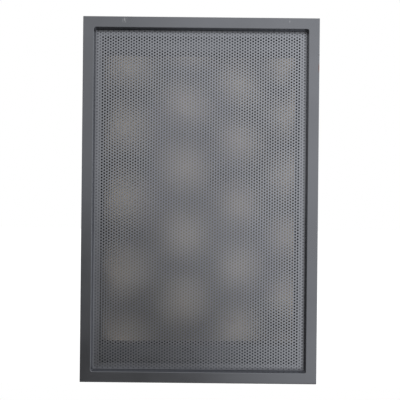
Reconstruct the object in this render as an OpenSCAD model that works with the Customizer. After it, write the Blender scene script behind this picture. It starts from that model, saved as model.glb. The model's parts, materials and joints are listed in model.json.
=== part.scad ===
// Perforated door for a floor-standing equipment cabinet: a folded steel tray
// with a recessed perforated sheet, two stiffening rails, a rear filter panel,
// spring-loaded lift-off hinge pins and magnetic catches.
// +X is to the right and +Z is up for someone facing the door, and +Y goes back
// into the cabinet. The origin is on the hinge axis, where the bearing length of
// the lower hinge pin starts, just below its bracket.

/* [Door tray] */
// Overall width
door_w = 586; // [400:1:800]
// Overall height
door_h = 906; // [700:1:1200]
// Depth of the folded tray
door_t = 50; // [46:1:70]
// Width of the flat face round the opening
face_w = 27; // [22:0.5:40]
// Steel thickness of the tray and rails
steel_t = 1.5; // [1.2:0.1:2]
// Outside radius of the front folds
fold_r = 1.2; // [0.5:0.1:2]
// Radius of the outer corners
corner_r = 2; // [0.5:0.1:3]
// Depth from the face to the front of the perforated sheet
recess_d = 12; // [8:0.5:16]
// Corner radius of the recess
recess_r = 4.5; // [3:0.5:10]
// Width of the flange that the sheet lies on
flange_w = 15; // [8:0.5:20]
// Width of the lip at the back of the tray
lip_w = 28; // [26:0.5:36]

/* [Perforated sheet] */
// Sheet thickness
sheet_t = 1.2; // [0.8:0.1:2]
// Gap between the sheet's edge and the recess wall
sheet_gap = 0.5; // [0.2:0.1:2]
// Plain border outside the outermost holes
sheet_margin = 5; // [3:0.5:15]
// Hole diameter
hole_d = 4.5; // [3:0.1:5.5]
// Hole pitch on the 60 degree stagger
hole_pitch = 7.5; // [7:0.1:12]
// Full rows merged into each drawn row; 1 draws every hole
coarse = 3; // [1:0.5:4]

/* [Stiffening rails] */
// Depth from the door's face to the rails' webs
rail_y = 27; // [20:0.5:30]
// Depth of the rails' legs
rail_d = 20; // [12:0.5:21]
// Inside radius of the rails' folds
rail_r = 1.5; // [0.5:0.1:3]
// Height of the top rail
top_rail_h = 50; // [30:1:60]
// Height of the bottom rail
bottom_rail_h = 60; // [30:1:66]
// Distance from the door's top or bottom to the nearer leg of each rail
rail_inset = 24; // [10:1:30]

/* [Filter panel] */
// Thickness of the filter mat
mat_t = 6; // [3:0.5:8]
// Distance from the door's edges to the mat's edges
mat_inset = 17; // [16.5:0.5:20]
// Sheet thickness of the retaining frame
retainer_t = 1.2; // [0.8:0.1:1.5]
// Distance from the door's edges to the retaining frame's edges
retainer_inset = 16; // [15.5:0.5:18]
// Width of the retaining frame's borders
retainer_w = 24; // [20:1:40]
// Depth of the folds round the retaining frame's windows
retainer_fold = 8; // [5:0.5:12]
// Width of the cross bars
bar_w = 18; // [12:1:40]
// Number of cross bars
bar_count = 2; // [1:1:3]
// Corner radius of the windows
window_r = 8; // [4:0.5:20]

/* [Retaining studs and nuts] */
// Stud diameter
stud_d = 5; // [4:0.5:6]
// Stud length behind the lip
stud_l = 18; // [17:0.5:24]
// Distance from the door's edges to the studs
stud_inset = 22; // [21.5:0.5:23]
// Spacing of the studs up each side
stud_pitch_z = 200; // [150:5:205]
// Spacing of the two studs along the top and the bottom
stud_pitch_x = 260; // [120:5:340]
// Knurled nut diameter
thumb_nut_d = 12; // [10:0.5:13]
// Knurled nut height
thumb_nut_h = 8; // [5:0.5:9]
// Flutes round each knurled nut
nut_flutes = 10; // [6:1:16]
// Clearance of the holes round the studs
stud_clearance = 0.25; // [0.1:0.05:0.6]

/* [Hinges] */
// Distance from the door's top or bottom to the middle of each hinge
hinge_inset_z = 110; // [100:1:130]
// Distance from the door's side to the hinge axis
hinge_inset_x = 8; // [7.5:0.5:8]
// Distance from the lip to the hinge axis
hinge_standoff = 12; // [12:0.5:16]
// Width of the hinge brackets
bracket_w = 14; // [13:0.5:15]
// Height of the hinge brackets
bracket_h = 56; // [50:1:64]
// Thickness of the hinge brackets
bracket_t = 2.5; // [2:0.1:3]
// Pin diameter
pin_d = 8; // [6:0.5:8]
// Length of pin that stands out of the bracket
pin_reach = 12; // [10:0.5:16]
// Width of the shallow groove where the pin leaves its bracket
relief_w = 0.6; // [0.3:0.1:1.5]
// Depth of the shallow groove
relief_depth = 0.3; // [0.1:0.05:0.6]
// Radial running clearance of the pin in its bracket
pin_clearance = 0.075; // [0.05:0.005:0.1]
// Straight length of the pin between the bracket and the bend of its handle
handle_drop = 6; // [4:0.5:10]
// Centreline radius of the handle's bend
handle_bend = 8; // [6:0.5:12]
// Straight length of the handle
handle_l = 16; // [12:0.5:18]
// Retaining ring outside diameter
ring_d = 12.6; // [12:0.1:13]
// Retaining ring thickness
ring_t = 1.2; // [0.8:0.1:1.5]
// Spring wire diameter
wire_d = 1.2; // [0.8:0.1:1.4]
// Clearance between the spring and the pin
spring_gap = 0.7; // [0.5:0.1:0.8]
// Open turns of the spring
spring_turns = 9; // [6:1:12]
// Distance between the two screws of a hinge bracket
hinge_screw_pitch = 30; // [24:1:34]
// Hinge screw diameter
hinge_screw_d = 4; // [3:0.5:4]

/* [Catches] */
// Distance between the two magnetic catches
catch_pitch = 500; // [300:5:560]
// Width of the catch housings
catch_w = 14; // [12:0.5:14.5]
// Height of the catch housings over their screw lugs
catch_h = 58; // [54:1:70]
// Depth of the catch housings
catch_d = 13; // [10:0.5:16]
// Thickness of the screw lugs
lug_t = 4; // [3:0.5:6]
// Height of the magnets
magnet_h = 28; // [20:1:30]
// Thickness of the magnets
magnet_t = 5; // [3:0.5:6]
// Thickness of the pole plates
pole_t = 1.2; // [1:0.1:1.5]
// How far the pole plates stand out of the housing
pole_reach = 0.6; // [0.3:0.1:1]
// Catch screw diameter
catch_screw_d = 3.5; // [3:0.1:4]
// Length of the catch screws under their heads
catch_screw_l = 11; // [8:0.5:14]

/* [Buffers] */
// Diameter of the rubber buffers
buffer_d = 12; // [10:0.5:13]
// Height of the rubber buffers behind the lip
buffer_h = 13; // [10:0.5:15]
// Diameter of the buffers' necks
neck_d = 6; // [4:0.5:7]
// Distance between the buffers along the top and the bottom
buffer_pitch = 400; // [300:5:440]

/* [Earth point] */
// Diameter of the earth stud
earth_d = 6; // [5:0.5:6]
// Length of the earth stud
earth_l = 14; // [12:0.5:18]
// Height of the earth stud below the middle of the door
earth_drop = 130; // [60:1:180]

/* [Hidden] */

$fn = 48;
cut = 1;
fit = 0.05;

paint = "#6b6e73";
zinc = "#b9bcc0";
black = "#232427";
mat_colour = "#a49a88";

// Tray
open_w = door_w - 2 * face_w;
open_h = door_h - 2 * face_w;
flange_y = recess_d + sheet_t;
clear_w = open_w - 2 * flange_w;
clear_h = open_h - 2 * flange_w;
lip_y = door_t - steel_t;

// Perforation
sheet_w = open_w - 2 * sheet_gap;
sheet_h = open_h - 2 * sheet_gap;
drawn_d = hole_d * coarse;
drawn_pitch = hole_pitch * coarse;
column_pitch = drawn_pitch * sin(60);
columns = floor((sheet_w - 2 * sheet_margin - drawn_d) / column_pitch) + 1;
rows = floor((sheet_h - 2 * sheet_margin - drawn_d) / drawn_pitch) + 1;

// Filter panel
retainer_y = door_t + mat_t;
nut_y = retainer_y + retainer_t;
window_w = door_w - 2 * (retainer_inset + retainer_w);
glazed_h = door_h - 2 * (retainer_inset + retainer_w);
window_h = (glazed_h - bar_count * bar_w) / (bar_count + 1);
stud_x = door_w / 2 - stud_inset;
stud_z = door_h / 2 - stud_inset;
side_rows = floor((door_h / 2 - stud_inset) / stud_pitch_z);

// Hinges, in the door's own frame
hinge_x = door_w / 2 - hinge_inset_x;
hinge_y = door_t + hinge_standoff;
hinge_z = door_h / 2 - hinge_inset_z;
pin_r = pin_d / 2;
ear_z = bracket_h / 2 - bracket_t;
ring_top = ear_z - 0.3;
ring_bottom = ring_top - ring_t;
groove_r = pin_r - 0.7;
coil_r = pin_r + spring_gap + wire_d / 2;
spring_bottom = -ear_z + 0.1;
spring_top = ring_bottom - 0.1;
screw_head_d = 2 * hinge_screw_d;
hex_nut_w = 1.75 * hinge_screw_d;
hex_nut_h = 0.8 * hinge_screw_d;

// Catches and buffers
catch_x = -(door_w / 2 - hinge_inset_x);
lug_z = catch_h / 2 - catch_w / 2;
buffer_z = door_h / 2 - retainer_inset / 2;

// ---------------------------------------------------------------- helpers

// Moves a child from the door's own frame (middle of the face) to the origin
module at_door() {
    translate([-hinge_x, -hinge_y, hinge_z + bracket_h / 2 + relief_w]) children();
}

// Stands a plane drawing up: its Y becomes +Z, its +Z comes towards the front
module upright() {
    rotate([90, 0, 0]) children();
}

// Extrudes an outline from depth y0 to depth y1 behind the door's face
module slab(y0, y1) {
    translate([0, y1, 0]) upright() linear_extrude(y1 - y0) children();
}

// A round bar that runs back from depth y0 to depth y1
module bar(y0, y1, d, d2 = undef) {
    translate([0, y1, 0]) upright() cylinder(h = y1 - y0, d1 = is_undef(d2) ? d : d2, d2 = d);
}

// A rectangle with true round corners
module rounded(w, h, r) {
    square([w - 2 * r, h], center = true);
    square([w, h - 2 * r], center = true);
    for (x = [-1, 1], y = [-1, 1])
        translate([x * (w / 2 - r), y * (h / 2 - r)]) circle(r);
}

// A rounded rectangular ring between two outlines
module ring(w1, h1, r1, w2, h2, r2) {
    difference() {
        rounded(w1, h1, r1);
        rounded(w2, h2, r2);
    }
}

// The sliver between a square edge and its rounded form
module edge_sliver(r) {
    difference() {
        translate([-cut, -r]) square([r + cut, r + cut]);
        translate([r, -r]) circle(r);
    }
}

// Rounds the outer front edge of a w by h plate
module outer_edge_cut(w, h, r) {
    for (k = [0:3])
        rotate(90 * k)
            translate([(k % 2 == 0 ? w : h) / 2, -max(w, h) / 2, 0])
                rotate([90, 0, 180]) linear_extrude(max(w, h)) edge_sliver(r);
}

// Rounds the front edge of a w by h opening with corners of radius cr
module inner_edge_cut(w, h, cr, r) {
    for (k = [0:3]) {
        side = k % 2 == 0 ? w : h;
        run = k % 2 == 0 ? h : w;
        rotate(90 * k) {
            translate([side / 2, run / 2 - cr, 0])
                rotate([90, 0, 0]) linear_extrude(run - 2 * cr) edge_sliver(r);
            translate([side / 2 - cr, run / 2 - cr, 0])
                rotate_extrude(angle = 90) translate([cr, 0]) edge_sliver(r);
        }
    }
}

// ---------------------------------------------------------------- tray

module door_frame() {
    color(paint) at_door() difference() {
        union() {
            slab(0, steel_t)
                ring(door_w, door_h, corner_r, open_w, open_h, recess_r);
            slab(0, door_t)
                ring(door_w, door_h, corner_r,
                    door_w - 2 * steel_t, door_h - 2 * steel_t, corner_r / 2);
            slab(0, flange_y + steel_t)
                ring(open_w + 2 * steel_t, open_h + 2 * steel_t, recess_r + steel_t,
                    open_w, open_h, recess_r);
            slab(flange_y, flange_y + steel_t)
                ring(open_w + steel_t, open_h + steel_t, recess_r,
                    clear_w, clear_h, recess_r);
            slab(lip_y, door_t)
                ring(door_w, door_h, corner_r,
                    door_w - 2 * lip_w, door_h - 2 * lip_w, recess_r);
        }
        upright() outer_edge_cut(door_w, door_h, fold_r);
        upright() inner_edge_cut(open_w, open_h, recess_r, fold_r);
        each_hinge_screw() bar(lip_y - cut, door_t + cut, hinge_screw_d + 2 * fit);
        each_catch() each_lug() bar(lip_y - cut, door_t + cut, catch_screw_d + 2 * fit);
        each_buffer() bar(lip_y - cut, door_t + cut, neck_d + 2 * fit);
    }
}

module perforated_sheet() {
    color(paint) at_door() slab(recess_d, flange_y) difference() {
        rounded(sheet_w, sheet_h, recess_r);
        for (i = [0:columns - 1]) {
            odd = i % 2;
            x = (i - (columns - 1) / 2) * column_pitch;
            for (j = [0:rows - 1 - odd])
                translate([x, (j + (odd - rows + 1) / 2) * drawn_pitch])
                    circle(d = drawn_d, $fn = 24);
        }
    }
}

// ---------------------------------------------------------------- rails

// Section of a rail: web at y = 0, legs going back, folded with round corners
module rail_section(h) {
    outer_r = rail_r + steel_t;
    difference() {
        channel_outline(h, rail_d, outer_r);
        translate([0, steel_t])
            channel_outline(h - 2 * steel_t, rail_d, rail_r);
    }
}

module channel_outline(h, d, r) {
    translate([-h / 2, r]) square([h, d - r]);
    translate([-h / 2 + r, 0]) square([h - 2 * r, d]);
    for (x = [-1, 1])
        translate([x * (h / 2 - r), r]) circle(r);
}

// A rail of height h whose middle is at height z
module rail(h, z) {
    run = door_w - 2 * steel_t;
    color(paint) at_door()
        translate([run / 2, rail_y, z])
            rotate([0, -90, 0]) linear_extrude(run) rail_section(h);
}

module top_rail() {
    rail(top_rail_h, door_h / 2 - rail_inset - top_rail_h / 2);
}

module bottom_rail() {
    rail(bottom_rail_h, -door_h / 2 + rail_inset + bottom_rail_h / 2);
}

// ---------------------------------------------------------------- filter panel

// Places a child at each retaining stud
module each_stud() {
    for (s = [-1, 1]) {
        for (k = [-side_rows:side_rows])
            translate([s * stud_x, 0, k * stud_pitch_z]) children();
        for (x = [-1, 1])
            translate([x * stud_pitch_x / 2, 0, s * stud_z]) children();
    }
}

module filter_mat() {
    color(mat_colour) at_door() difference() {
        slab(door_t, retainer_y)
            rounded(door_w - 2 * mat_inset, door_h - 2 * mat_inset, recess_r);
        each_stud()
            bar(door_t - cut, retainer_y + cut, stud_d + 2 * stud_clearance);
    }
}

// One window of the retaining frame, grown by g on every side
module retainer_window(g) {
    rounded(window_w + 2 * g, window_h + 2 * g, window_r + g);
}

module each_window() {
    for (k = [0:bar_count])
        translate([0, (k - bar_count / 2) * (window_h + bar_w)]) children();
}

module filter_retainer() {
    w = door_w - 2 * retainer_inset;
    h = door_h - 2 * retainer_inset;
    color(paint) at_door() difference() {
        union() {
            slab(retainer_y, nut_y) rounded(w, h, recess_r);
            slab(retainer_y, retainer_y + retainer_fold)
                each_window() retainer_window(retainer_t);
        }
        slab(retainer_y - cut, retainer_y + retainer_fold + cut)
            each_window() retainer_window(0);
        each_stud()
            bar(retainer_y - cut, nut_y + cut, stud_d + 2 * stud_clearance);
    }
}

module retainer_studs() {
    tip = stud_d / 5;
    color(zinc) at_door() each_stud() {
        bar(door_t, door_t + stud_l - tip, stud_d);
        bar(door_t + stud_l - tip, door_t + stud_l, stud_d, stud_d - 2 * tip);
    }
}

// A knurled nut with a plain collar on its seat
module thumb_nut() {
    collar_h = thumb_nut_h / 4;
    flute_d = thumb_nut_d / 6;
    difference() {
        union() {
            bar(nut_y, nut_y + collar_h, 0.75 * thumb_nut_d);
            bar(nut_y + collar_h, nut_y + thumb_nut_h, thumb_nut_d);
        }
        bar(nut_y - cut, nut_y + thumb_nut_h + cut, stud_d + 2 * fit);
        for (a = [1:nut_flutes])
            rotate([0, a * 360 / nut_flutes, 0])
                translate([thumb_nut_d / 2, 0, 0])
                    bar(nut_y + collar_h, nut_y + thumb_nut_h + cut, flute_d, $fn = 16);
    }
}

module retainer_nuts() {
    color(zinc) at_door() each_stud() thumb_nut();
}

// ---------------------------------------------------------------- hinges

// Places a child in the upper hinge's frame, or mirrored in the lower one's.
// There the pin's axis is the Z axis and the lip's back is at -hinge_standoff.
module at_hinge(upper) {
    at_door() translate([hinge_x, hinge_y, (upper ? 1 : -1) * hinge_z])
        mirror([0, 0, upper ? 0 : 1]) children();
}

// Places a child on each hinge screw's axis
module each_hinge_screw() {
    for (s = [-1, 1], k = [-1, 1])
        translate([hinge_x, 0, s * hinge_z + k * hinge_screw_pitch / 2]) children();
}

module hinge_bracket(upper) {
    head_t = (screw_head_d - hinge_screw_d) / 2;
    color(zinc) difference() {
        at_hinge(upper) difference() {
            intersection() {
                rotate([90, 0, 90])
                    translate([0, 0, -bracket_w / 2])
                        linear_extrude(bracket_w) bracket_profile();
                translate([0, 0, -bracket_h / 2]) linear_extrude(bracket_h) {
                    translate([-bracket_w / 2, -hinge_standoff])
                        square([bracket_w, hinge_standoff]);
                    circle(d = bracket_w);
                }
            }
            translate([0, 0, -bracket_h]) cylinder(h = 2 * bracket_h, r = pin_r + pin_clearance);
        }
        at_door() each_hinge_screw() {
            bar(door_t - cut, door_t + bracket_t + cut, hinge_screw_d + 2 * fit);
            bar(door_t + bracket_t - head_t, door_t + bracket_t,
                hinge_screw_d + 2 * fit, screw_head_d + 2 * fit);
        }
    }
}

// The bracket's U seen from its side, in the hinge's frame
module bracket_profile() {
    reach = hinge_standoff + bracket_w / 2;
    difference() {
        translate([-hinge_standoff, 0]) rotate(-90)
            channel_outline(bracket_h, reach, bracket_t + 1);
        translate([-hinge_standoff + bracket_t, 0]) rotate(-90)
            channel_outline(bracket_h - 2 * bracket_t, reach, 1);
    }
}

module upper_hinge_bracket() {
    hinge_bracket(true);
}

module lower_hinge_bracket() {
    hinge_bracket(false);
}

module hinge_screws() {
    head_t = (screw_head_d - hinge_screw_d) / 2;
    top = door_t + bracket_t;
    color(zinc) at_door() each_hinge_screw() difference() {
        union() {
            bar(top - head_t, top, hinge_screw_d, screw_head_d);
            bar(lip_y - hex_nut_h - 1, top - head_t, hinge_screw_d);
        }
        translate([0, top, 0]) cube([screw_head_d, 2 * 0.7, 0.8], center = true);
    }
}

module hinge_nuts() {
    color(zinc) at_door() each_hinge_screw() difference() {
        translate([0, lip_y, 0]) upright()
            cylinder(h = hex_nut_h, d = hex_nut_w / cos(30), $fn = 6);
        bar(lip_y - hex_nut_h - cut, lip_y + cut, hinge_screw_d + 2 * fit);
    }
}

// A round pin with grooves for its ring and at its bracket's face, bent at the
// bottom into a handle
module hinge_pin(upper) {
    top = bracket_h / 2 + pin_reach;
    bearing_z = bracket_h / 2 + relief_w;
    bend_z = -bracket_h / 2 - handle_drop;
    color(zinc) at_hinge(upper) {
        translate([0, 0, bend_z]) cylinder(h = ring_bottom - bend_z, r = pin_r);
        translate([0, 0, ring_bottom]) cylinder(h = ring_t, r = groove_r);
        translate([0, 0, ring_top]) cylinder(h = bracket_h / 2 - ring_top, r = pin_r);
        translate([0, 0, bracket_h / 2]) cylinder(h = relief_w, r = pin_r - relief_depth);
        translate([0, 0, bearing_z]) cylinder(h = top - 1 - bearing_z, r = pin_r);
        translate([0, 0, top - 1]) cylinder(h = 1, r1 = pin_r, r2 = pin_r - 1);
        translate([-handle_bend, 0, bend_z]) rotate([-90, 0, 0])
            rotate_extrude(angle = 90) translate([handle_bend, 0]) circle(pin_r);
        translate([-handle_bend, 0, bend_z - handle_bend]) rotate([0, -90, 0])
            cylinder(h = handle_l - pin_r, r = pin_r);
        translate([-handle_bend - handle_l + pin_r, 0, bend_z - handle_bend])
            sphere(pin_r);
    }
}

module upper_hinge_pin() {
    hinge_pin(true);
}

module lower_hinge_pin() {
    hinge_pin(false);
}

// An open snap ring that holds the spring on the pin
module pin_ring(upper) {
    color(black) at_hinge(upper) translate([0, 0, ring_bottom])
        linear_extrude(ring_t) difference() {
            circle(d = ring_d);
            circle(groove_r + fit);
            translate([0, -groove_r * 0.7]) square([ring_d, groove_r * 1.4]);
        }
}

module upper_pin_ring() {
    pin_ring(true);
}

module lower_pin_ring() {
    pin_ring(false);
}

// Height along a compression spring at t from 0 to 1, with one closed turn
// at each end
function coil_z(t, turns) =
    let (
        closed = 1 / turns,
        low = spring_bottom + wire_d / 2,
        high = spring_top - wire_d / 2,
        slope = wire_d
    )
    t < closed ? low + slope * t / closed
    : t > 1 - closed ? high - slope * (1 - t) / closed
    : low + slope + (high - low - 2 * slope) * (t - closed) / (1 - 2 * closed);

module hinge_spring(upper) {
    turns = spring_turns + 2;
    steps = turns * 12;
    sides = 6;
    points = [
        for (i = [0:steps])
            let (t = i / steps, a = 360 * turns * t, z = coil_z(t, turns))
                for (k = [0:sides - 1])
                    let (b = 360 * k / sides, r = coil_r + wire_d / 2 * cos(b))
                        [r * cos(a), r * sin(a), z + wire_d / 2 * sin(b)]
    ];
    skin = [
        for (i = [0:steps - 1], k = [0:sides - 1])
            let (n = (k + 1) % sides)
                [i * sides + k, i * sides + n, (i + 1) * sides + n, (i + 1) * sides + k]
    ];
    first = [for (k = [sides - 1:-1:0]) k];
    last = [for (k = [0:sides - 1]) steps * sides + k];
    color(zinc) at_hinge(upper) polyhedron(points, concat(skin, [first, last]));
}

module upper_hinge_spring() {
    hinge_spring(true);
}

module lower_hinge_spring() {
    hinge_spring(false);
}

// ---------------------------------------------------------------- catches

module each_catch() {
    for (s = [-1, 1])
        translate([catch_x, 0, s * catch_pitch / 2]) children();
}

module each_lug() {
    for (k = [-1, 1])
        translate([0, 0, k * lug_z]) children();
}

module catch_housing(s) {
    slot_w = magnet_t + 2 * pole_t + 2 * fit;
    back = door_t + catch_d;
    color(black) at_door() translate([catch_x, 0, s * catch_pitch / 2]) difference() {
        union() {
            slab(door_t, door_t + lug_t) {
                square([catch_w, catch_h - catch_w], center = true);
                for (k = [-1, 1])
                    translate([0, k * lug_z]) circle(d = catch_w);
            }
            slab(door_t, back) rounded(catch_w, magnet_h + 4, 1.5);
        }
        slab(door_t + lug_t / 2, back + cut)
            square([slot_w, magnet_h + 2 * fit], center = true);
        each_lug() bar(door_t - cut, door_t + lug_t + cut, catch_screw_d + 2 * fit);
    }
}

module upper_catch_housing() {
    catch_housing(1);
}

module lower_catch_housing() {
    catch_housing(-1);
}

module catch_magnets() {
    color(black) at_door() each_catch()
        slab(door_t + lug_t / 2, door_t + catch_d - 0.5)
            square([magnet_t, magnet_h], center = true);
}

module catch_pole_plates() {
    color(zinc) at_door() each_catch() for (s = [-1, 1])
        slab(door_t + lug_t / 2, door_t + catch_d + pole_reach)
            translate([s * (magnet_t + pole_t) / 2, 0])
                square([pole_t, magnet_h], center = true);
}

module catch_screws() {
    head_y = door_t + lug_t;
    head_h = catch_screw_d * 0.6;
    head_d = catch_screw_d * 1.9;
    point = catch_screw_d;
    end_y = head_y - catch_screw_l;
    color(zinc) at_door() each_catch() each_lug() difference() {
        union() {
            bar(head_y, head_y + head_h / 2, head_d);
            bar(head_y + head_h / 2, head_y + head_h, head_d, 0.7 * head_d);
            bar(end_y + point, head_y, catch_screw_d);
            bar(end_y, end_y + point, 0.6, catch_screw_d);
        }
        for (a = [0, 90])
            rotate([0, a, 0]) translate([0, head_y + head_h, 0])
                cube([0.6 * head_d, head_h, 0.8], center = true);
    }
}

// ---------------------------------------------------------------- buffers

module each_buffer() {
    for (x = [-1, 1], z = [-1, 1])
        translate([x * buffer_pitch / 2, 0, z * buffer_z]) children();
}

// Turned outline: a head behind the lip, a neck through it and a barb inside
module buffer_outline() {
    r = buffer_d / 2;
    n = neck_d / 2;
    polygon([
        [0, -steel_t - 4], [n * 0.6, -steel_t - 4], [n + 1, -steel_t - 0.6],
        [n + 1, -steel_t], [n, -steel_t], [n, 0],
        [r, 0], [r, 2], [r - 1, buffer_h - 2], [r - 3, buffer_h], [0, buffer_h]
    ]);
}

module buffers() {
    color(black) at_door() each_buffer()
        translate([0, door_t, 0]) rotate([-90, 0, 0])
            rotate_extrude() buffer_outline();
}

// ---------------------------------------------------------------- earth point

module at_earth() {
    at_door() translate([hinge_x, 0, -earth_drop]) children();
}

module earth_stud() {
    color(zinc) at_earth() {
        bar(door_t, door_t + 1, earth_d + 2);
        bar(door_t + 1, door_t + earth_l - 1, earth_d);
        bar(door_t + earth_l - 1, door_t + earth_l, earth_d, earth_d - 2);
    }
}

module earth_washer() {
    color(zinc) at_earth() difference() {
        bar(door_t + 1, door_t + 2.2, 2 * earth_d);
        bar(door_t, door_t + 3, earth_d + 2 * fit);
    }
}

module earth_nut() {
    h = 0.8 * earth_d;
    color(zinc) at_earth() difference() {
        translate([0, door_t + 2.2 + h, 0]) upright()
            cylinder(h = h, d = 10 / cos(30), $fn = 6);
        bar(door_t, door_t + 4 + h, earth_d + 2 * fit);
    }
}

door_frame();
perforated_sheet();
top_rail();
bottom_rail();
filter_mat();
filter_retainer();
retainer_studs();
retainer_nuts();
upper_hinge_bracket();
lower_hinge_bracket();
hinge_screws();
hinge_nuts();
upper_hinge_pin();
lower_hinge_pin();
upper_pin_ring();
lower_pin_ring();
upper_hinge_spring();
lower_hinge_spring();
upper_catch_housing();
lower_catch_housing();
catch_magnets();
catch_pole_plates();
catch_screws();
buffers();
earth_stud();
earth_washer();
earth_nut();
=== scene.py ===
"""Dresses the perforated cabinet door: the full hole pattern, the filter mat,
threads and springs, and a finish for each of its solids."""

import json
import math

import bmesh
import bpy
from bpy.props import FloatProperty, FloatVectorProperty, IntProperty, PointerProperty
from bpy.types import Operator, Panel, PropertyGroup
from mathutils import Matrix, Vector, noise


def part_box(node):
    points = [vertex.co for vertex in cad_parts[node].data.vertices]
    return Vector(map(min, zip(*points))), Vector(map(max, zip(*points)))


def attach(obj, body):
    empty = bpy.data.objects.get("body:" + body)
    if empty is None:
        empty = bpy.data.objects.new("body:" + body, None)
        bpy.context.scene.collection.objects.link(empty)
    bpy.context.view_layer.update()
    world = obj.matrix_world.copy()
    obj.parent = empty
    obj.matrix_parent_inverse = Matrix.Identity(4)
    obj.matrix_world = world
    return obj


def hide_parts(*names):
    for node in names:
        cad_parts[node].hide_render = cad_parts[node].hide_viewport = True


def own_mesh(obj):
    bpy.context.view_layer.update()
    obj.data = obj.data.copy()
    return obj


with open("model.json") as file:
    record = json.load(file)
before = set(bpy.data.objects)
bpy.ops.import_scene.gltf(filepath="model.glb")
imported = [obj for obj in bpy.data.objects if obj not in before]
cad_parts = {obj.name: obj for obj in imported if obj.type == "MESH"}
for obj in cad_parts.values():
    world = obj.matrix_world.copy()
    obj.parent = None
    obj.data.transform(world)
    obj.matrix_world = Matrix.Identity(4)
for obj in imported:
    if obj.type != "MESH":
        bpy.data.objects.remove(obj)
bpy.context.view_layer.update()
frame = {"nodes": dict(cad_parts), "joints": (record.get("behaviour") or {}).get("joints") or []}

bl_info = {
    "name": "Perforated Cabinet Door",
    "version": (1, 0, 0),
    "blender": (4, 5, 0),
    "location": "View3D > Sidebar > Door",
    "description": "Sheet, mat, threads, springs, finishes and stage of a cabinet door",
    "category": "Mesh",
}

MM = 0.001


def door_face():
    """The middle of the door's flat front face."""
    low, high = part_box("door_frame")
    return Vector(((low.x + high.x) / 2, low.y, (low.z + high.z) / 2))


FACE = door_face()
DOOR_LOW, DOOR_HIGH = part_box("door_frame")
SHEET_LOW, SHEET_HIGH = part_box("perforated_sheet")
MAT_LOW, MAT_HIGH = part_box("filter_mat")
PLATE_LOW, PLATE_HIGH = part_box("filter_retainer")


# ------------------------------------------------------------------ settings


class SheetSettings(PropertyGroup):
    """Sizes of the perforated sheet."""

    hole_d: FloatProperty(
        name="Hole diameter", description="Diameter of the punched holes",
        default=4.5 * MM, unit="LENGTH")
    pitch: FloatProperty(
        name="Pitch", description="Distance between neighbouring holes",
        default=7.5 * MM, unit="LENGTH")
    margin: FloatProperty(
        name="Margin", description="Least plain border outside the outermost holes",
        default=1.0 * MM, unit="LENGTH")
    corner_r: FloatProperty(
        name="Corner radius", description="Radius of the sheet's corners",
        default=4.0 * MM, unit="LENGTH")
    sides: IntProperty(
        name="Hole sides", description="Flats round each hole, in steps of six",
        default=12, min=6, step=6)
    bands: IntProperty(
        name="Bands", description="Number of meshes that the sheet is kept in",
        default=3, min=1)


class MatSettings(PropertyGroup):
    """Shape of the filter mat."""

    cell: FloatProperty(
        name="Cell", description="Size of the mesh cells across the mat",
        default=8.0 * MM, unit="LENGTH")
    bulge: FloatProperty(
        name="Bulge", description="How far the mat swells back into each window",
        default=2.6 * MM, unit="LENGTH")
    forward: FloatProperty(
        name="Forward swell", description="How far the mat's front swells forward",
        default=0.6 * MM, unit="LENGTH")
    lean: FloatProperty(
        name="Lean", description="How far the front leans back at the right-hand side",
        default=4.6 * MM, unit="LENGTH")
    rise: FloatProperty(
        name="Rise", description="How far the front leans back near the top",
        default=3.0 * MM, unit="LENGTH")
    top: FloatProperty(
        name="Top part", description="Share of the height above which the rise starts",
        default=0.72, min=0.0, max=0.99)
    side_fade: FloatProperty(
        name="Side fade", description="Share of the width in which the swell fades",
        default=1 / 16, min=0.001)
    end_fade: FloatProperty(
        name="End fade", description="Share of the height in which the swell fades",
        default=1 / 12, min=0.001)
    fullness: FloatProperty(
        name="Fullness", description="Power of the swell's profile, fuller when lower",
        default=0.6, min=0.01)
    ripple: FloatProperty(
        name="Ripple", description="Depth of the slow ripples in the front of the mat",
        default=0.8 * MM, unit="LENGTH")
    border: FloatProperty(
        name="Clamped border", description="Width of the clamped edge of the mat",
        default=25.0 * MM, unit="LENGTH")
    bar_w: FloatProperty(
        name="Bar width", description="Width of the retainer's cross bars",
        default=18.0 * MM, unit="LENGTH")
    windows: IntProperty(
        name="Windows", description="Number of windows in the retainer",
        default=3, min=1)


class HardwareSettings(PropertyGroup):
    """Sizes of the threads and springs."""

    stud_pitch: FloatProperty(
        name="Stud thread pitch", description="Thread pitch of the retaining studs",
        default=0.8 * MM, unit="LENGTH")
    stud_tip: FloatProperty(
        name="Stud taper", description="Length of the taper at each stud's tip",
        default=1.0 * MM, unit="LENGTH")
    stud_sides: IntProperty(
        name="Thread steps", description="Steps in each turn of a thread",
        default=16, min=6)
    wire_d: FloatProperty(
        name="Spring wire", description="Wire diameter of the hinge springs",
        default=1.2 * MM, unit="LENGTH")
    coils: IntProperty(
        name="Coils", description="Turns of each hinge spring, end turns included",
        default=11, min=3)


class FinishSettings(PropertyGroup):
    """Colours and gloss of the finishes."""

    paint: FloatVectorProperty(
        name="Paint", description="Colour of the satin paint", subtype="COLOR",
        size=3, default=(0.200, 0.205, 0.222), min=0.0, max=1.0)
    # The sheet's brightness is a painted highlight: the frame's paint made lighter in place of
    # the key light's gloss on the webs.
    sheet_highlight_share: FloatProperty(
        name="Sheet brightness", description="Brightness of the sheet's paint",
        default=1.65, min=0.0)
    paint_metallic: FloatProperty(
        name="Paint metallic", description="Share of metal flake in the paint",
        default=0.9, min=0.0, max=1.0, subtype="FACTOR")
    paint_roughness: FloatProperty(
        name="Paint roughness", description="Roughness of the satin paint",
        default=0.30, min=0.0, max=1.0, subtype="FACTOR")
    zinc: FloatVectorProperty(
        name="Zinc", description="Colour of the zinc plating", subtype="COLOR",
        size=3, default=(0.62, 0.63, 0.64), min=0.0, max=1.0)
    mat: FloatVectorProperty(
        name="Mat", description="Colour of the filter mat's fibres", subtype="COLOR",
        size=3, default=(0.25, 0.224, 0.192), min=0.0, max=1.0)


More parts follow.
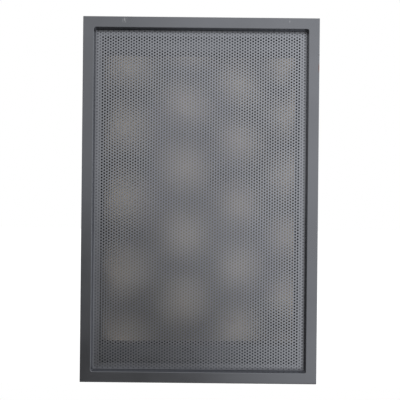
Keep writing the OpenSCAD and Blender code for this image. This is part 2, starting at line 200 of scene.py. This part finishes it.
class StageSettings(PropertyGroup):
    """Camera, lamps and floor."""

    distance: FloatProperty(
        name="Camera distance", description="From the camera to the door's face",
        default=0.80, unit="LENGTH")
    view_w: FloatProperty(
        name="View width", description="Width of the view at the door's face",
        default=0.989, unit="LENGTH")
    camera_right: FloatProperty(
        name="Camera to the right", description="From the middle of the door's face",
        default=0.6 * MM, unit="LENGTH")
    camera_up: FloatProperty(
        name="Camera height", description="From the middle of the door's face",
        default=0.5 * MM, unit="LENGTH")
    roll: FloatProperty(
        name="Roll", description="How far the camera is turned about its axis",
        default=math.radians(0.58), subtype="ANGLE")
    key_right: FloatProperty(
        name="Key to the right", description="Sideways slope of the key light",
        default=0.045)
    key_up: FloatProperty(
        name="Key height", description="Downward slope of the key light",
        default=0.108)
    key_power: FloatProperty(
        name="Key power", description="Strength of the key light", default=3.3)
    key_angle: FloatProperty(
        name="Key angle", description="Apparent size of the key light",
        default=math.radians(1.8), subtype="ANGLE")
    world_power: FloatProperty(
        name="World power", description="Strength of the soft light all round",
        default=1.0)
    floor_w: FloatProperty(
        name="Floor width", description="Width of the floor",
        default=8.0, unit="LENGTH")
    floor_depth: FloatProperty(
        name="Floor depth", description="Depth of the floor, front to back",
        default=4.1, unit="LENGTH")
    floor_front: FloatProperty(
        name="Floor front", description="How far the floor reaches in front of the face",
        default=4.0 * MM, unit="LENGTH")
    floor_glow: FloatProperty(
        name="Floor glow", description="Extra brightness of the floor to the camera",
        default=0.8)


# ------------------------------------------------------------------ meshes


def finish_mesh(name, bm, body="root", smooth=None, material=None):
    """Makes an object of a bmesh, in place, and lets it ride on a body."""
    mesh = bpy.data.meshes.new(name)
    bm.to_mesh(mesh)
    bm.free()
    piece = bpy.data.objects.new(name, mesh)
    bpy.context.scene.collection.objects.link(piece)
    if smooth is not None:
        mesh.shade_smooth()
        mesh.set_sharp_from_angle(angle=math.radians(smooth))
    if material is not None:
        mesh.materials.append(material)
    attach(piece, body)
    return piece


def hexagon(bm, pitch):
    """A hexagonal cell whose flats face up, down and to the slanting neighbours."""
    bmesh.ops.create_circle(
        bm, cap_ends=True, segments=6, radius=pitch / math.sqrt(3),
        matrix=Matrix.Rotation(math.radians(90), 4, "X")
        @ Matrix.Rotation(math.radians(30), 4, "Z"))


def punched_hexagon(bm, pitch, hole_d, sides):
    """A hexagonal cell with a round hole, of the same area as the true hole."""
    hexagon(bm, pitch)
    corners = [math.atan2(v.co.z, v.co.x) for v in bm.verts]
    flat = min(abs(math.degrees(a)) % 60 for a in corners)
    if min(flat, 60 - flat) > 0.1:
        raise RuntimeError("the cell's corners don't point sideways")
    face = bm.faces[:][0]
    bmesh.ops.inset_individual(
        bm, faces=[face], thickness=(pitch - hole_d) / 2, use_even_offset=True)
    bmesh.ops.bisect_edges(bm, edges=face.edges[:], cuts=sides // 6 - 1)
    area_r = hole_d / 2 * math.sqrt(
        math.pi / (sides / 2 * math.sin(2 * math.pi / sides)))
    step = 2 * math.pi / sides
    for v in face.verts:
        turn = round(math.atan2(v.co.z, v.co.x) / step) * step
        v.co = Vector((area_r * math.cos(turn), 0, area_r * math.sin(turn)))
    bmesh.ops.delete(bm, geom=[face], context="FACES_ONLY")


CORNER_CUTS = 6  # straight pieces of each rounded corner


class DOOR_OT_perforated_sheet(Operator):
    """Makes the sheet with its full pattern of punched holes"""

    bl_idname = "door.perforated_sheet"
    bl_label = "Perforated Sheet"

    def execute(self, context):
        s = context.scene.door_sheet
        width, height = SHEET_HIGH.x - SHEET_LOW.x, SHEET_HIGH.z - SHEET_LOW.z
        thickness = SHEET_HIGH.y - SHEET_LOW.y
        # 1e-6 keeps a last column or row that fits exactly.
        self.step = s.pitch * math.sin(math.radians(60))
        self.columns = int((width - 2 * s.margin - s.hole_d) / self.step + 1e-6) + 1
        self.rows = int((height - 2 * s.margin - s.hole_d) / s.pitch - 0.5 + 1e-6) + 1
        self.middle = Vector((
            (SHEET_LOW.x + SHEET_HIGH.x) / 2, SHEET_LOW.y,
            (SHEET_LOW.z + SHEET_HIGH.z) / 2))
        material = highlit_sheet_paint()
        cuts = [round(self.rows * k / s.bands) for k in range(s.bands + 1)]
        for band, (low, high) in enumerate(zip(cuts, cuts[1:])):
            bm = self.band(s, low, high, low == 0, high == self.rows)
            self.trim(bm, s, width, height)
            piece = finish_mesh(
                f"sheet_band_{band + 1}", bm, material=material)
            wall = piece.modifiers.new("Thickness", "SOLIDIFY")
            wall.thickness = thickness
            wall.offset = -1
            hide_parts("perforated_sheet")
        return {"FINISHED"}

    def place(self, s, column, row):
        """The middle of the hole at a column and row; odd columns stand half a pitch down."""
        up = row - (self.rows - 1) / 2 + (-0.25 if column % 2 else 0.25)
        return self.middle + Vector(
            ((column - (self.columns - 1) / 2) * self.step, 0, up * s.pitch))

    def band(self, s, low, high, bottom, top):
        """The flat front of one band of rows, plain cells at its edges included."""
        punched, plain = bmesh.new(), bmesh.new()
        punched_hexagon(punched, s.pitch, s.hole_d, s.sides)
        hexagon(plain, s.pitch)
        bm = bmesh.new()
        first, last = (-1 if bottom else low), (high + 1 if top else high)
        for column in range(-2, self.columns + 2):
            holed = 0 <= column < self.columns
            for row in range(first, last):
                full = holed and 0 <= row < self.rows
                self.stamp(bm, punched if full else plain, self.place(s, column, row))
        punched.free()
        plain.free()
        bmesh.ops.remove_doubles(bm, verts=bm.verts[:], dist=0.02 * MM)
        return bm

    def stamp(self, bm, cell, place):
        """Adds a copy of a cell at a place."""
        verts = {v: bm.verts.new(v.co + place) for v in cell.verts}
        for f in cell.faces:
            bm.faces.new([verts[v] for v in f.verts])

    def trim(self, bm, s, width, height):
        """Cuts the band to the sheet's rounded rectangle."""
        for x, z in ((1, 0), (-1, 0), (0, 1), (0, -1)):
            edge = self.middle + Vector((x * width / 2, 0, z * height / 2))
            bmesh.ops.bisect_plane(
                bm, geom=bm.verts[:] + bm.edges[:] + bm.faces[:], dist=1e-6,
                plane_co=edge, plane_no=(x, 0, z), clear_outer=True)
        for x in (-1, 1):
            for z in (-1, 1):
                centre = self.middle + Vector((
                    x * (width / 2 - s.corner_r), 0, z * (height / 2 - s.corner_r)))
                for k in range(1, CORNER_CUTS):
                    turn = math.radians(90 * k / CORNER_CUTS)
                    out = Vector((x * math.cos(turn), 0, z * math.sin(turn)))
                    near = [f for f in bm.faces
                            if (f.calc_center_median() - centre).length < 4 * s.corner_r]
                    edges = {e for f in near for e in f.edges}
                    verts = {v for f in near for v in f.verts}
                    bmesh.ops.bisect_plane(
                        bm, geom=[*verts, *edges, *near], dist=1e-6,
                        plane_co=centre + out * s.corner_r, plane_no=out,
                        clear_outer=True)


RIPPLES_ACROSS, RIPPLES_UP, RIPPLE_SEED = 3.1, 4.3, 5.2


class DOOR_OT_filter_mat(Operator):
    """Makes the fibre mat, swollen back into the retainer's windows"""

    bl_idname = "door.filter_mat"
    bl_label = "Filter Mat"

    def execute(self, context):
        s = context.scene.door_mat
        size = MAT_HIGH - MAT_LOW
        middle = (MAT_LOW + MAT_HIGH) / 2
        bm = bmesh.new()
        bmesh.ops.create_cube(bm, size=1.0)
        bmesh.ops.scale(bm, verts=bm.verts[:], vec=size)
        bmesh.ops.translate(bm, verts=bm.verts[:], vec=middle)
        for axis in (0, 2):
            count = round(size[axis] / s.cell)
            for k in range(1, count):
                spot = Vector(MAT_LOW)
                spot[axis] += size[axis] * k / count
                normal = Vector((0, 0, 0))
                normal[axis] = 1
                bmesh.ops.bisect_plane(
                    bm, geom=bm.verts[:] + bm.edges[:] + bm.faces[:], dist=1e-7,
                    plane_co=spot, plane_no=normal)
        for v in bm.verts:
            self.shape(v, s)
        piece = finish_mesh(
            "filter_pad", bm, smooth=60, material=mat_fibre())
        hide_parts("filter_mat")
        return {"FINISHED"}

    def shape(self, v, s):
        """Leans and ripples the front, or swells the back, at one vertex."""
        left, right = PLATE_LOW.x + s.border, PLATE_HIGH.x - s.border
        low, high = PLATE_LOW.z + s.border, PLATE_HIGH.z - s.border
        u = (v.co.x - left) / (right - left)
        w = (v.co.z - low) / (high - low)
        if not (0 < u < 1 and 0 < w < 1):
            return
        inside = min(1.0, min(u, 1 - u) / s.side_fade, min(w, 1 - w) / s.end_fade)
        inside = inside * inside * (3 - 2 * inside)
        bar = s.bar_w / (high - low)
        span = (1 - bar * (s.windows - 1)) / s.windows
        across = math.sin(math.pi * u) ** s.fullness
        window = (w % (span + bar)) / span
        up = math.sin(math.pi * window) ** s.fullness if window < 1 else 0.0
        if v.co.y > (MAT_LOW.y + MAT_HIGH.y) / 2:
            v.co.y += s.bulge * across * up
        else:
            slow = noise.noise(
                Vector((RIPPLES_ACROSS * u, RIPPLE_SEED, RIPPLES_UP * w)))
            top = max(0.0, (w - s.top) / (1 - s.top))
            v.co.y += inside * (
                s.lean * (2 * u - 1) + s.rise * top + s.ripple * slow - s.forward)


THREAD_DEPTH = 0.61  # in pitches, as on a metric thread
CREST_START, CREST_END = 0.42, 0.58  # the flat top of the ridge, in pitches


def thread(bm, radius, pitch, base, length, tip, sides):
    """Adds a threaded rod along +Y: a helix of ridges, flat ends and a tapered tip."""
    depth = THREAD_DEPTH * pitch
    turns = math.ceil(length / pitch) + 2
    rod = bmesh.new()
    start = -pitch
    root = radius - depth
    points = [(root, 0), (radius, CREST_START), (radius, CREST_END), (root, 1)]
    profile = [rod.verts.new((r, start + pitch * t, 0)) for r, t in points]
    edges = [rod.edges.new(pair) for pair in zip(profile, profile[1:])]
    geom = profile + edges
    for _ in range(turns):
        swept = bmesh.ops.spin(
            rod, geom=geom, cent=(0, 0, 0), axis=(0, 1, 0),
            dvec=(0, pitch / sides, 0), angle=2 * math.pi, steps=sides)
        geom = swept["geom_last"]
    bmesh.ops.remove_doubles(rod, verts=rod.verts[:], dist=0.01 * pitch)
    for y, side in ((0, -1), (length, 1)):
        bmesh.ops.bisect_plane(
            rod, geom=rod.verts[:] + rod.edges[:] + rod.faces[:], dist=1e-7,
            plane_co=(0, y, 0), plane_no=(0, side, 0), clear_outer=True)
        rim = [e for e in rod.edges if e.is_boundary
               and all(abs(v.co.y - y) < 1e-6 for v in e.verts)]
        bmesh.ops.holes_fill(rod, edges=rim, sides=0)
    for v in rod.verts:
        beyond = v.co.y - (length - tip)
        flat = math.hypot(v.co.x, v.co.z)
        if beyond > 0 and flat > radius - beyond:
            shrink = (radius - beyond) / flat
            v.co.x *= shrink
            v.co.z *= shrink
    bmesh.ops.recalc_face_normals(rod, faces=rod.faces[:])
    bmesh.ops.translate(rod, verts=rod.verts[:], vec=base)
    add_to(bm, rod)


def add_to(bm, part):
    """Adds a finished bmesh to another and frees it."""
    mesh = bpy.data.meshes.new("part")
    part.to_mesh(mesh)
    part.free()
    bm.from_mesh(mesh)
    bpy.data.meshes.remove(mesh)


def islands(node):
    """The boxes of a CAD node's separate solids, as (low, high) pairs."""
    bm = bmesh.new()
    bm.from_mesh(frame["nodes"][node].data)
    bmesh.ops.remove_doubles(bm, verts=bm.verts[:], dist=0.001 * MM)
    seen, boxes = set(), []
    for v in bm.verts:
        if v in seen:
            continue
        stack, low, high = [v], v.co.copy(), v.co.copy()
        seen.add(v)
        while stack:
            here = stack.pop()
            low = Vector(map(min, low, here.co))
            high = Vector(map(max, high, here.co))
            for e in here.link_edges:
                other = e.other_vert(here)
                if other not in seen:
                    seen.add(other)
                    stack.append(other)
        boxes.append((low, high))
    bm.free()
    return boxes


class DOOR_OT_threads(Operator):
    """Cuts threads on the retaining studs"""

    bl_idname = "door.threads"
    bl_label = "Threads"

    def execute(self, context):
        s = context.scene.door_hardware
        bm = bmesh.new()
        for low, high in islands("retainer_studs"):
            self.stud(bm, s, low, high)
        piece = finish_mesh(
            "threaded_studs", bm, smooth=35,
            material=zinc_plating())
        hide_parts("retainer_studs")
        return {"FINISHED"}

    def stud(self, bm, s, low, high):
        """Adds one threaded stud that fills a box."""
        centre = (low + high) / 2
        base = Vector((centre.x, low.y, centre.z))
        thread(
            bm, (high.x - low.x) / 2, s.stud_pitch, base, high.y - low.y,
            s.stud_tip, s.stud_sides)


class DOOR_OT_hinge_springs(Operator):
    """Winds the two compression springs round the hinge pins"""

    bl_idname = "door.hinge_springs"
    bl_label = "Hinge Springs"

    def execute(self, context):
        s = context.scene.door_hardware
        wire = spring_wire()
        for name, fixed_low in (("upper", True), ("lower", False)):
            node = f"{name}_hinge_spring"
            low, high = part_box(node)
            centre = (low + high) / 2
            radius = (high.x - low.x) / 2 - s.wire_d / 2
            bm = bmesh.new()
            self.wind(bm, s, radius, low.z, high.z)
            bmesh.ops.translate(
                bm, verts=bm.verts[:], vec=(centre.x, centre.y, 0))
            piece = finish_mesh(
                f"{name}_coil_spring", bm, smooth=50,
                material=wire)
            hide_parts(node)
            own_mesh(piece)
        return {"FINISHED"}

    def travel(self, joint):
        """The travel of a slide, in metres."""
        found = [j for j in frame["joints"] if j["name"] == joint]
        return max(abs(q) for q in found[0]["range_m"])

    def wind(self, bm, s, radius, low, high, steps=28, sides=10):
        """Sweeps the wire's round section along the helix, closed turns at the ends."""
        count = s.coils * steps
        rings = []
        for i in range(count + 1):
            t = i / count
            turn = 2 * math.pi * s.coils * t
            middle = Vector((
                radius * math.cos(turn), radius * math.sin(turn),
                self.height(s, t, low + s.wire_d / 2, high - s.wire_d / 2)))
            out = Vector((math.cos(turn), math.sin(turn), 0))
            ring = []
            for k in range(sides):
                a = 2 * math.pi * k / sides
                ring.append(bm.verts.new(
                    middle + s.wire_d / 2
                    * (out * math.cos(a) + Vector((0, 0, 1)) * math.sin(a))))
            rings.append(ring)
        for a, b in zip(rings, rings[1:]):
            for k in range(sides):
                n = (k + 1) % sides
                bm.faces.new((a[k], a[n], b[n], b[k]))
        bm.faces.new(rings[0][::-1])
        bm.faces.new(rings[-1])
        bmesh.ops.recalc_face_normals(bm, faces=bm.faces[:])

    def height(self, s, t, low, high):
        """Height of the wire's centre at t from 0 to 1 along the spring."""
        closed, rise = 1 / s.coils, s.wire_d
        if t < closed:
            return low + rise * t / closed
        if t > 1 - closed:
            return high - rise * (1 - t) / closed
        run = (t - closed) / (1 - 2 * closed)
        return low + rise + (high - low - 2 * rise) * run


# ------------------------------------------------------------------ materials


class Nodes:
    """A short way to add shader nodes to a material or world."""

    def __init__(self, owner):
        owner.use_nodes = True
        self.tree = owner.node_tree
        self.output = None
        for node in self.tree.nodes:
            if node.type in ("OUTPUT_MATERIAL", "OUTPUT_WORLD"):
                self.output = node
        self.shader = self.tree.nodes.get("Principled BSDF")

    def add(self, kind, inputs=None, out=0, **settings):
        """Adds a node, sets or links its inputs and returns one of its outputs."""
        node = self.tree.nodes.new("ShaderNode" + kind)
        for key, value in settings.items():
            setattr(node, key, value)
        for key, value in (inputs or {}).items():
            self.put(node.inputs[key], value)
        return node.outputs[out]

    def put(self, socket, value):
        """Links a socket to an output, or sets its value."""
        if isinstance(value, bpy.types.NodeSocket):
            self.tree.links.new(value, socket)
        else:
            socket.default_value = value

    def coords(self, scale=(1, 1, 1)):
        """Object coordinates through a Mapping node."""
        place = self.add("TexCoord", out="Object")
        return self.add("Mapping", {"Vector": place, "Scale": scale})

    def noise(self, vector, scale, detail=2.0, rough=0.5, distortion=0.0):
        """The value of a noise texture."""
        return self.add(
            "TexNoise", {"Vector": vector, "Scale": scale, "Detail": detail,
                         "Roughness": rough, "Distortion": distortion})

    def ramp(self, value, low, high, to_low=0.0, to_high=1.0):
        """Maps a value from one range to another, clamped and smooth."""
        return self.add(
            "MapRange", {"Value": value, "From Min": low, "From Max": high,
                         "To Min": to_low, "To Max": to_high},
            interpolation_type="SMOOTHSTEP")

    def math(self, operation, a, b=0.0, c=0.0):
        """A Math node's value."""
        return self.add("Math", {0: a, 1: b, 2: c}, operation=operation)

    def mix(self, factor, a, b):
        """A mix of two colours; the node's colour sockets are 6, 7 and 2."""
        node = self.tree.nodes.new("ShaderNodeMix")
        node.data_type = "RGBA"
        self.put(node.inputs[0], factor)
        self.put(node.inputs[6], a)
        self.put(node.inputs[7], b)
        return node.outputs[2]

    def bump(self, height, strength, distance):
        """A bump from a height."""
        return self.add(
            "Bump", {"Height": height, "Strength": strength, "Distance": distance})

    def near(self, coords, place, inner, outer):
        """1 near a place, falling to 0 at an outer distance."""
        gap = self.add(
            "VectorMath", {0: coords, 1: place}, out="Value", operation="DISTANCE")
        return self.ramp(gap, inner, outer, 1.0, 0.0)

    def set(self, name, value):
        """Sets or links a socket of the Principled shader."""
        self.put(self.shader.inputs[name], value)


def rgba(colour, share=1.0):
    """A colour with alpha, its brightness times share."""
    return (*(min(1.0, c * share) for c in colour), 1.0)


def new_material(name):
    """A material by name and its node helper."""
    made = bpy.data.materials.new(name)
    return made, Nodes(made)


# Scuffs on the face: x and z from its middle, and reach.
SCUFFS = ((-0.191, 0.444, 0.010), (0.218, 0.4437, 0.004))
SCUFF_COLOUR = (0.42, 0.42, 0.43, 1)
# Marks on the right-hand edge: z from its middle, full and outer reach, scale, colour.
RUST = (0.330, 0.0005, 0.0042, (1, 1, 0.25), (0.20, 0.085, 0.06, 1))
NICK = (0.362, 0.0005, 0.0030, (1, 1, 1), (0.02, 0.018, 0.018, 1))


def worn(n, colour):
    """Adds pale scuffs to the face, and rust and a dark nick to the right-hand edge."""
    streaks = n.ramp(n.noise(n.coords(scale=(500, 200, 90)), 1.0, 3.0, 0.7), 0.48, 0.6)
    for x, z, size in SCUFFS:
        spot = n.near(n.coords(), FACE + Vector((x, 0, z)), 0.0, size)
        colour = n.mix(n.math("MULTIPLY", spot, streaks), colour, SCUFF_COLOUR)
    for z, inner, outer, scale, tint in (RUST, NICK):
        place = Vector((DOOR_HIGH.x, DOOR_LOW.y, (FACE.z + z) * scale[2]))
        spot = n.near(n.coords(scale=scale), place, inner, outer)
        colour = n.mix(spot, colour, tint)
    return colour


def satin_paint(name, wear=True):
    """Satin paint with orange peel and slow tone changes; wear adds scuffs and marks, and
    without wear the colour is brightened as a painted highlight.
    """
    f = bpy.context.scene.door_finish
    # Without wear this is the sheet, whose colour is raised here as a painted highlight.
    share = 1.0 if wear else f.sheet_highlight_share
    made, n = new_material(name)
    place = n.coords()
    slow = n.noise(place, 5.0, 4.0, 0.55)
    fine = n.noise(place, 900.0, 2.0, 0.5)
    peel = n.noise(place, 420.0, 1.0, 0.4)
    tone = n.ramp(slow, 0.3, 0.7)
    colour = n.mix(tone, rgba(f.paint, 0.93 * share), rgba(f.paint, 1.05 * share))
    rough = n.ramp(n.math("ADD", slow, n.math("MULTIPLY", fine, 0.35)), 0.45, 0.9,
                   f.paint_roughness - 0.03, f.paint_roughness + 0.06)
    if wear:
        colour = worn(n, colour)
    n.set("Base Color", colour)
    n.set("Roughness", rough)
    n.shader.inputs["Metallic"].default_value = f.paint_metallic
    height = n.math("ADD", peel, n.math("MULTIPLY", fine, 0.25))
    n.set("Normal", n.bump(height, 0.35, 0.00006))
    return made


def highlit_sheet_paint():
    """The paint of the perforated sheet, without wear. It is brightened above the frame's paint
    as a painted highlight that stands in for the key light's gloss on the webs.
    """
    return satin_paint("highlit_sheet_paint", wear=False)


def door_paint():
    """The paint of the tray, rails and retainer."""
    return satin_paint("door_paint")


def zinc_plating():
    """Bright zinc plate with a faint mottle and fine lines."""
    f = bpy.context.scene.door_finish
    made, n = new_material("zinc_plating")
    place = n.coords()
    mottle = n.noise(place, 160.0, 3.0, 0.6)
    lines = n.noise(n.coords(scale=(300, 300, 4000)), 1.0, 2.0, 0.5)
    colour = n.mix(n.ramp(mottle, 0.35, 0.65), rgba(f.zinc, 0.9),
                   (0.66, 0.66, 0.62, 1.0))
    n.set("Base Color", colour)
    n.set("Roughness", n.ramp(mottle, 0.3, 0.7, 0.26, 0.38))
    n.set("Normal", n.bump(lines, 0.2, 0.00002))
    n.shader.inputs["Metallic"].default_value = 1.0
    return made


def spring_wire():
    """Drawn spring wire with faint lines."""
    made, n = new_material("spring_wire")
    streak = n.noise(n.coords(scale=(400, 400, 1500)), 1.0, 2.0, 0.6)
    n.set("Base Color", n.mix(streak, (0.42, 0.42, 0.43, 1), (0.60, 0.60, 0.60, 1)))
    n.set("Roughness", n.ramp(streak, 0.3, 0.7, 0.25, 0.4))
    n.shader.inputs["Metallic"].default_value = 1.0
    return made


def mat_fibre():
    """Needled fibre mat: crossed fibres, tufts and slow changes of tone."""
    f = bpy.context.scene.door_finish
    made, n = new_material("mat_fibre")
    tuft = n.noise(n.coords(), 140.0, 4.0, 0.65)
    across = n.noise(n.coords(scale=(500, 500, 2600)), 1.0, 2.0, 0.6, 1.5)
    along = n.noise(n.coords(scale=(2600, 500, 500)), 1.0, 2.0, 0.6, 1.5)
    fibres = n.math("MAXIMUM", across, along)
    tone = n.math("MULTIPLY_ADD", fibres, 0.6, n.math("MULTIPLY", tuft, 0.4))
    colour = n.mix(n.ramp(tone, 0.42, 0.72), rgba(f.mat, 0.78), rgba(f.mat, 1.12))
    slow = n.noise(n.coords(), 9.0, 3.0, 0.5)
    colour = n.mix(n.ramp(slow, 0.35, 0.7, 0.0, 0.35), colour, rgba(f.mat, 0.88))
    n.set("Base Color", colour)
    n.set("Normal", n.bump(tone, 0.7, 0.0006))
    n.shader.inputs["Roughness"].default_value = 0.95
    n.shader.inputs["Sheen Weight"].default_value = 0.2
    return made


def dark_finish(name, colour, roughness, grain, depth, stretch=(1, 1, 1)):
    """A dark finish with a fine grain: plastic, ferrite, rubber or black steel."""
    made, n = new_material(name)
    place = n.coords(scale=stretch)
    fine = n.noise(place, grain, 3.0, 0.6)
    slow = n.noise(n.coords(), 60.0, 3.0, 0.6)
    n.set("Base Color", n.mix(n.ramp(slow, 0.35, 0.7), rgba(colour, 0.85),
                              rgba(colour, 1.35)))
    n.set("Roughness", n.ramp(fine, 0.3, 0.7, roughness - 0.06, roughness + 0.08))
    n.set("Normal", n.bump(fine, 0.4, depth))
    return made


class DOOR_OT_finishes(Operator):
    """Gives each of the door's solids its finish"""

    bl_idname = "door.finishes"
    bl_label = "Finishes"

    def execute(self, context):
        paint = door_paint()
        zinc = zinc_plating()
        plastic = dark_finish("black_plastic", (0.030, 0.030, 0.033), 0.46, 1500, 5e-5)
        ferrite = dark_finish(
            "ferrite", (0.060, 0.060, 0.065), 0.6, 3.0, 3e-5, (300, 1200, 300))
        rubber = dark_finish("rubber", (0.028, 0.028, 0.028), 0.78, 900, 8e-5)
        phosphate = dark_finish("black_phosphate", (0.05, 0.05, 0.055), 0.5, 1200, 3e-5)
        groups = (
            (paint, "door_frame top_rail bottom_rail filter_retainer"),
            (zinc, "retainer_nuts upper_hinge_bracket lower_hinge_bracket "
                   "hinge_screws hinge_nuts upper_hinge_pin lower_hinge_pin "
                   "catch_pole_plates catch_screws earth_stud earth_washer earth_nut"),
            (plastic, "upper_catch_housing lower_catch_housing"),
            (ferrite, "catch_magnets"),
            (rubber, "buffers"),
            (phosphate, "upper_pin_ring lower_pin_ring"),
        )
        for material, names in groups:
            for name in names.split():
                mesh = frame["nodes"][name].data
                mesh.materials.clear()
                mesh.materials.append(material)
        return {"FINISHED"}


# ------------------------------------------------------------------ stage


WORLD_SLOPE = (0.62, 0.0, 0.26)  # the soft light grows to the right and up
WORLD_LEVEL, WORLD_LEAST = 0.72, 0.15
DARK_WAY = Vector((-0.36, -0.80, -0.50))  # low in front, on the left
DARK_CORE, DARK_REACH = math.radians(12), math.radians(34)
DARK_SHARE = 0.10
OFF_GLOSS = 0.32  # share of the soft light that all but glossy rays get


class DOOR_OT_stage(Operator):
    """Sets the camera, the lamps, the world and the floor"""

    bl_idname = "door.stage"
    bl_label = "Stage"

    def execute(self, context):
        s = context.scene.door_stage
        self.camera(context, s)
        self.key(context, s)
        self.world(context, s)
        self.floor(context, s)
        context.scene.view_settings.view_transform = "Standard"
        return {"FINISHED"}

    def camera(self, context, s):
        """A camera square to the door, in front of its middle."""
        data = bpy.data.cameras.new("camera")
        data.sensor_width = 36.0
        data.lens = data.sensor_width * s.distance / s.view_w
        data.clip_start, data.clip_end = 0.02, 50.0
        camera = bpy.data.objects.new("camera", data)
        context.scene.collection.objects.link(camera)
        camera.location = FACE + Vector((s.camera_right, -s.distance, s.camera_up))
        camera.rotation_euler = (math.radians(90), -s.roll, 0)
        context.scene.camera = camera

    def key(self, context, s):
        """A distant key light from the upper right."""
        data = bpy.data.lights.new("key", "SUN")
        data.energy = s.key_power
        data.angle = s.key_angle
        data.color = (1.0, 0.97, 0.92)
        lamp = bpy.data.objects.new("key", data)
        context.scene.collection.objects.link(lamp)
        travel = Vector((-s.key_right, 1.0, -s.key_up))
        lamp.rotation_euler = travel.to_track_quat("-Z", "Y").to_euler()
        lamp.location = FACE - 2 * travel.normalized()
        # The key shows no gloss; the sheet's painted highlight stands in for it.
        lamp.visible_glossy = False

    def world(self, context, s):
        """A soft world, darker low on the left in front, white to the camera."""
        world = bpy.data.worlds.new("studio")
        context.scene.world = world
        n = Nodes(world)
        for node in list(n.tree.nodes):
            if node != n.output:
                n.tree.nodes.remove(node)
        way = n.add("TexCoord", out="Generated")
        slope = n.add("VectorMath", {0: way, 1: WORLD_SLOPE}, out="Value",
                      operation="DOT_PRODUCT")
        level = n.math("ADD", slope, WORLD_LEVEL)
        spot = n.add("VectorMath", {0: way, 1: DARK_WAY.normalized()}, out="Value",
                     operation="DOT_PRODUCT")
        dark = n.ramp(spot, math.cos(DARK_REACH), math.cos(DARK_CORE), 1.0, DARK_SHARE)
        level = n.math("MULTIPLY", n.math("MAXIMUM", level, WORLD_LEAST), dark)
        glossy = n.add("LightPath", out="Is Glossy Ray")
        share = n.math("MULTIPLY_ADD", glossy, 1 - OFF_GLOSS, OFF_GLOSS)
        level = n.math("MULTIPLY", level, share)
        soft = n.add("Background", {"Color": (0.97, 0.985, 1.0, 1.0),
                                    "Strength": n.math("MULTIPLY", level,
                                                       s.world_power)})
        white = n.add("Background", {"Color": (1, 1, 1, 1), "Strength": 1.0})
        rays = n.add("LightPath", out="Is Camera Ray")
        mixed = n.add("MixShader", {0: rays, 1: soft, 2: white})
        n.tree.links.new(mixed, n.output.inputs["Surface"])

    def floor(self, context, s):
        """A pale floor from just in front of the door to far behind it."""
        bm = bmesh.new()
        bmesh.ops.create_grid(bm, x_segments=1, y_segments=1, size=0.5)
        bmesh.ops.scale(bm, verts=bm.verts[:], vec=(s.floor_w, s.floor_depth, 1.0))
        middle_y = FACE.y + s.floor_depth / 2 - s.floor_front
        bmesh.ops.translate(bm, verts=bm.verts[:], vec=(FACE.x, middle_y, DOOR_LOW.z))
        mesh = bpy.data.meshes.new("floor")
        bm.to_mesh(mesh)
        bm.free()
        floor = bpy.data.objects.new("floor", mesh)
        context.scene.collection.objects.link(floor)
        made, n = new_material("floor")
        n.tree.nodes.remove(n.shader)
        pale = n.add("BsdfDiffuse", {"Color": (0.86, 0.86, 0.86, 1.0)})
        glow = n.add("Emission", {"Color": (1, 1, 1, 1), "Strength": s.floor_glow})
        rays = n.add("LightPath", out="Is Camera Ray")
        lit = n.add("AddShader", {0: pale, 1: glow})
        mixed = n.add("MixShader", {0: rays, 1: pale, 2: lit})
        n.tree.links.new(mixed, n.output.inputs["Surface"])
        mesh.materials.append(made)


# ------------------------------------------------------------------ add-on


class DOOR_PT_panel(Panel):
    """Shows the door's settings and the buttons that make its parts"""

    bl_idname = "DOOR_PT_panel"
    bl_label = "Cabinet Door"
    bl_space_type = "VIEW_3D"
    bl_region_type = "UI"
    bl_category = "Door"

    def draw(self, context):
        for settings, title, _ in GROUPS:
            box = self.layout.box()
            box.label(text=title)
            group = getattr(context.scene, settings)
            for name in group.__annotations__:
                box.prop(group, name)
        for operator in OPERATORS:
            self.layout.operator(operator.bl_idname)


GROUPS = (
    ("door_sheet", "Perforated sheet", SheetSettings),
    ("door_mat", "Filter mat", MatSettings),
    ("door_hardware", "Hardware", HardwareSettings),
    ("door_finish", "Finishes", FinishSettings),
    ("door_stage", "Stage", StageSettings),
)
OPERATORS = (
    DOOR_OT_stage,
    DOOR_OT_finishes,
    DOOR_OT_perforated_sheet,
    DOOR_OT_filter_mat,
    DOOR_OT_threads,
    DOOR_OT_hinge_springs,
)
CLASSES = (*(group for *_, group in GROUPS), *OPERATORS, DOOR_PT_panel)


def register():
    for cls in CLASSES:
        bpy.utils.register_class(cls)
    for name, _, group in GROUPS:
        setattr(bpy.types.Scene, name, PointerProperty(type=group))


def unregister():
    for name, *_ in GROUPS:
        delattr(bpy.types.Scene, name)
    for cls in reversed(CLASSES):
        bpy.utils.unregister_class(cls)


def main():
    """Registers the add-on and makes the whole door and its stage."""
    register()
    for operator in OPERATORS:
        family, name = operator.bl_idname.split(".")
        getattr(getattr(bpy.ops, family), name)()


if __name__ == "__main__":
    main()
